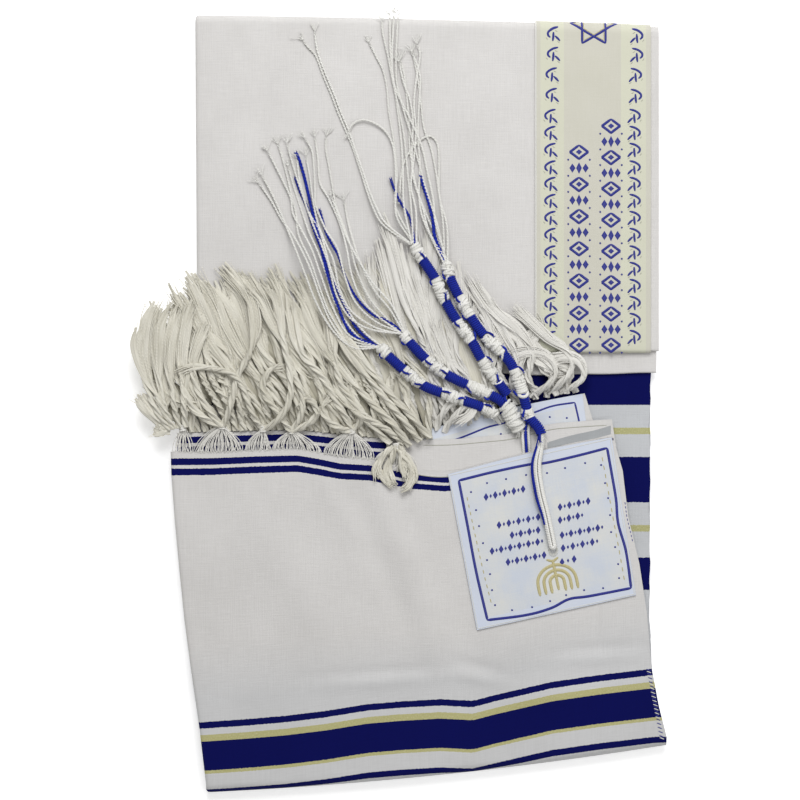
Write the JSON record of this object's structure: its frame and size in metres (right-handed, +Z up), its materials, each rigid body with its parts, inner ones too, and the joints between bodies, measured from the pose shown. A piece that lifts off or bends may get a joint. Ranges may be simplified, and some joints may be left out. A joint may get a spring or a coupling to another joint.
{
  "type": "tallit prayer shawl",
  "caption": "Folded striped prayer shawl lying flat, with neck band, corner patches, fringed ends and knotted tzitzit.",
  "frame": {"origin": "on the underside, where the folded shawl lies on a surface, near the middle of its outline", "axes": "+Y along the folded shawl towards its top fold, +X across it towards the open selvedges, +Z up out of the surface"},
  "size_m": [0.3192, 0.4738, 0.0221],
  "materials": {
    "cloth": "matt woven cloth, warm white with navy and thin gold stripes",
    "neck_band": "close woven satin band, pale cream with navy and gold embroidery",
    "corner_patch": "close woven satin patch, cream with blue embroidered frame",
    "fringe": "matt twisted cream yarn",
    "tzitzit": "royal blue and white twisted cord, wound and knotted"
  },
  "bodies": {
    "root": {"top_flap": "cloth", "bottom_flap": "cloth", "inner_layers": "cloth", "top_flap_second_fold": "cloth", "bottom_flap_second_layer": "cloth", "bottom_flap_third_layer": "cloth", "atara": "neck_band", "corner_patch_front": "corner_patch", "corner_patch_back": "corner_patch", "fringe_front": "fringe", "fringe_second": "fringe", "fringe_third": "fringe", "tzitzit_a": "tzitzit", "tzitzit_b": "tzitzit", "tzitzit_c": "tzitzit", "tzitzit_d": "tzitzit"}
  },
  "joints": []
}
